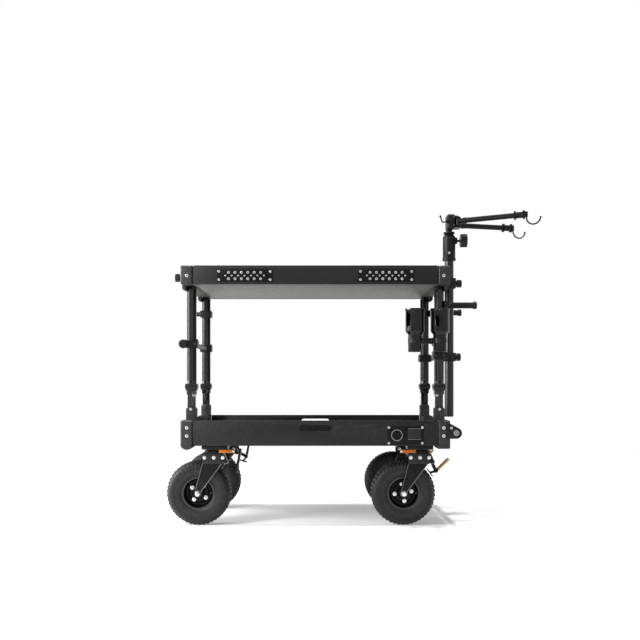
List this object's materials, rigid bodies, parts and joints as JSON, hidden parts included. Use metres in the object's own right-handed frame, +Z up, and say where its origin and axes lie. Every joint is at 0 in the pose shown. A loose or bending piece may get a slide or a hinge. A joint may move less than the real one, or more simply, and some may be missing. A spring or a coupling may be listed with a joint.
{
  "type": "workstation cart",
  "caption": "Folding camera-crew workstation cart: deep lower tray on braked casters, folding posts, lift-off top shelf, push handles, mug holders and a mast with hook arms.",
  "frame": {"origin": "on the floor, under the middle of the whole cart's plan", "axes": "+X along the deck towards the push handles and mast, +Y across it to the rear, +Z up"},
  "size_m": [1.5084, 0.6794, 1.2757],
  "materials": {
    "powder_black": "fine-textured black powder coat on aluminium",
    "cast_black": "black powder-coated aluminium castings and clamps",
    "knob_black": "moulded black plastic hand knobs",
    "anodised_black": "satin black anodised extrusion and tube",
    "underside_grey": "plain light grey sheet",
    "shelf_board": "black laminated board",
    "caster_steel": "black painted pressed steel with zinc bolts",
    "tyre_rubber": "dark grey pneumatic tyre rubber",
    "rim_black": "gloss black painted rim with zinc nuts",
    "grip_rubber": "ribbed black rubber grips",
    "lever_orange": "orange dipped levers with black arms"
  },
  "bodies": {
    "chassis": {"tray_floor": "powder_black", "tray_rail_front": "powder_black", "tray_rail_rear": "powder_black", "tray_end_left": "cast_black", "tray_end_right": "cast_black", "lift_bar": "cast_black", "caster_plate_front_left": "caster_steel", "caster_plate_front_right": "caster_steel", "caster_plate_rear_left": "caster_steel", "caster_plate_rear_right": "caster_steel"},
    "left_legs": {"post_front_left": "anodised_black", "post_rear_left": "anodised_black", "hang_bar": "cast_black", "clamp_bar": "cast_black"},
    "right_legs": {"post_front_right": "anodised_black", "post_rear_right": "anodised_black", "handle_crossbar": "cast_black", "grip_front": "grip_rubber", "grip_rear": "grip_rubber", "mug_bracket": "cast_black", "mug_holder_inner": "cast_black", "mug_holder_outer": "cast_black", "mast_bar": "cast_black"},
    "top_shelf": {"top_board": "shelf_board", "top_underside": "underside_grey", "top_rail_front": "powder_black", "top_rail_rear": "powder_black", "top_end_left": "cast_black", "top_end_right": "cast_black", "mast_top_bracket": "cast_black"},
    "shelf_knob_front": {"shelf_knob_front": "knob_black"},
    "shelf_knob_rear": {"shelf_knob_rear": "knob_black"},
    "mast_top_knob": {"mast_top_knob": "knob_black"},
    "mast": {"mast_tube": "anodised_black", "mast_base_clamp": "cast_black", "mast_socket": "cast_black"},
    "tee_knob": {"mast_tee_knob": "knob_black"},
    "head": {"mast_head": "cast_black"},
    "hook_arm_front": {"hook_arm_front": "cast_black"},
    "hook_arm_rear": {"hook_arm_rear": "cast_black"},
    "swivel_lock_front_left": {"swivel_lock_front_left": "lever_orange"},
    "fork_front_left": {"fork_front_left": "caster_steel"},
    "wheel_front_left": {"rim_front_left": "rim_black", "tyre_front_left": "tyre_rubber"},
    "brake_front_left": {"brake_lever_front_left": "lever_orange"},
    "swivel_lock_front_right": {"swivel_lock_front_right": "lever_orange"},
    "fork_front_right": {"fork_front_right": "caster_steel"},
    "wheel_front_right": {"rim_front_right": "rim_black", "tyre_front_right": "tyre_rubber"},
    "brake_front_right": {"brake_lever_front_right": "lever_orange"},
    "swivel_lock_rear_left": {"swivel_lock_rear_left": "lever_orange"},
    "fork_rear_left": {"fork_rear_left": "caster_steel"},
    "wheel_rear_left": {"rim_rear_left": "rim_black", "tyre_rear_left": "tyre_rubber"},
    "brake_rear_left": {"brake_lever_rear_left": "lever_orange"},
    "swivel_lock_rear_right": {"swivel_lock_rear_right": "lever_orange"},
    "fork_rear_right": {"fork_rear_right": "caster_steel"},
    "wheel_rear_right": {"rim_rear_right": "rim_black", "tyre_rear_right": "tyre_rubber"},
    "brake_rear_right": {"brake_lever_rear_right": "lever_orange"}
  },
  "joints": [
    {"name": "left_fold", "type": "hinge", "parent": "chassis", "child": "left_legs", "pos_m": [-0.65722, 0.04335, 0.459], "axis": [0, 1, 0], "range_deg": [0, 90]},
    {"name": "right_fold", "type": "hinge", "parent": "chassis", "child": "right_legs", "pos_m": [0.32778, 0.04335, 0.459], "axis": [0, -1, 0], "range_deg": [0, 90]},
    {"name": "shelf_lift", "type": "slide", "parent": "chassis", "child": "top_shelf", "axis": [0, 0, 1], "range_m": [0, 0.08]},
    {"name": "shelf_knob_turn_front", "type": "hinge", "parent": "top_shelf", "child": "shelf_knob_front", "pos_m": [-0.69252, -0.17765, 0.9813], "axis": [1, 0, 0], "continuous": true},
    {"name": "shelf_knob_turn_rear", "type": "hinge", "parent": "top_shelf", "child": "shelf_knob_rear", "pos_m": [-0.69252, 0.26435, 0.9813], "axis": [1, 0, 0], "continuous": true},
    {"name": "mast_top_knob_turn", "type": "hinge", "parent": "top_shelf", "child": "mast_top_knob", "pos_m": [0.43008, 0.04335, 0.9847], "axis": [1, 0, 0], "continuous": true},
    {"name": "mast_slide", "type": "slide", "parent": "top_shelf", "child": "mast", "axis": [0, 0, 1], "range_m": [-0.03, 0.22]},
    {"name": "tee_knob_turn", "type": "hinge", "parent": "mast", "child": "tee_knob", "pos_m": [0.43958, 0.04335, 1.1667], "axis": [1, 0, 0], "continuous": true},
    {"name": "head_swivel", "type": "hinge", "parent": "mast", "child": "head", "pos_m": [0.40378, 0.04335, 1.2097], "axis": [0, 0, 1], "continuous": true},
    {"name": "hook_arm_swing_front", "type": "hinge", "parent": "head", "child": "hook_arm_front", "pos_m": [0.43878, 0.02635, 1.2417], "axis": [0, 0, 1], "range_deg": [-61, 28]},
    {"name": "hook_arm_swing_rear", "type": "hinge", "parent": "head", "child": "hook_arm_rear", "pos_m": [0.43878, 0.06035, 1.2417], "axis": [0, 0, 1], "range_deg": [-14.5, 74.5]},
    {"name": "swivel_front_left", "type": "hinge", "parent": "chassis", "child": "fork_front_left", "pos_m": [-0.56172, -0.17765, 0.2857], "axis": [0, 0, 1], "continuous": true},
    {"name": "wheel_spin_front_left", "type": "hinge", "parent": "fork_front_left", "child": "wheel_front_left", "pos_m": [-0.62722, -0.17765, 0.127], "axis": [0, 1, 0], "continuous": true},
    {"name": "brake_press_front_left", "type": "hinge", "parent": "fork_front_left", "child": "brake_front_left", "pos_m": [-0.51372, -0.17765, 0.2525], "axis": [0, 1, 0], "range_deg": [0, 39]},
    {"name": "lock_swing_front_left", "type": "hinge", "parent": "chassis", "child": "swivel_lock_front_left", "pos_m": [-0.53272, -0.22565, 0.294], "axis": [0, 0, 1], "range_deg": [-35, 0]},
    {"name": "swivel_front_right", "type": "hinge", "parent": "chassis", "child": "fork_front_right", "pos_m": [0.24928, -0.17765, 0.2857], "axis": [0, 0, 1], "continuous": true},
    {"name": "wheel_spin_front_right", "type": "hinge", "parent": "fork_front_right", "child": "wheel_front_right", "pos_m": [0.18378, -0.17765, 0.127], "axis": [0, 1, 0], "continuous": true},
    {"name": "brake_press_front_right", "type": "hinge", "parent": "fork_front_right", "child": "brake_front_right", "pos_m": [0.29728, -0.17765, 0.2525], "axis": [0, 1, 0], "range_deg": [-30, 3]},
    {"name": "lock_swing_front_right", "type": "hinge", "parent": "chassis", "child": "swivel_lock_front_right", "pos_m": [0.22028, -0.22565, 0.294], "axis": [0, 0, 1], "range_deg": [0, 35]},
    {"name": "swivel_rear_left", "type": "hinge", "parent": "chassis", "child": "fork_rear_left", "pos_m": [-0.56172, 0.26435, 0.2857], "axis": [0, 0, 1], "continuous": true},
    {"name": "wheel_spin_rear_left", "type": "hinge", "parent": "fork_rear_left", "child": "wheel_rear_left", "pos_m": [-0.62722, 0.26435, 0.127], "axis": [0, 1, 0], "continuous": true},
    {"name": "brake_press_rear_left", "type": "hinge", "parent": "fork_rear_left", "child": "brake_rear_left", "pos_m": [-0.51372, 0.26435, 0.2525], "axis": [0, 1, 0], "range_deg": [0, 39]},
    {"name": "lock_swing_rear_left", "type": "hinge", "parent": "chassis", "child": "swivel_lock_rear_left", "pos_m": [-0.53272, 0.31235, 0.294], "axis": [0, 0, 1], "range_deg": [0, 35]},
    {"name": "swivel_rear_right", "type": "hinge", "parent": "chassis", "child": "fork_rear_right", "pos_m": [0.24928, 0.26435, 0.2857], "axis": [0, 0, 1], "continuous": true},
    {"name": "wheel_spin_rear_right", "type": "hinge", "parent": "fork_rear_right", "child": "wheel_rear_right", "pos_m": [0.18378, 0.26435, 0.127], "axis": [0, 1, 0], "continuous": true},
    {"name": "brake_press_rear_right", "type": "hinge", "parent": "fork_rear_right", "child": "brake_rear_right", "pos_m": [0.29728, 0.26435, 0.2525], "axis": [0, 1, 0], "range_deg": [-30, 3]},
    {"name": "lock_swing_rear_right", "type": "hinge", "parent": "chassis", "child": "swivel_lock_rear_right", "pos_m": [0.22028, 0.31235, 0.294], "axis": [0, 0, 1], "range_deg": [-35, 0]}
  ]
}
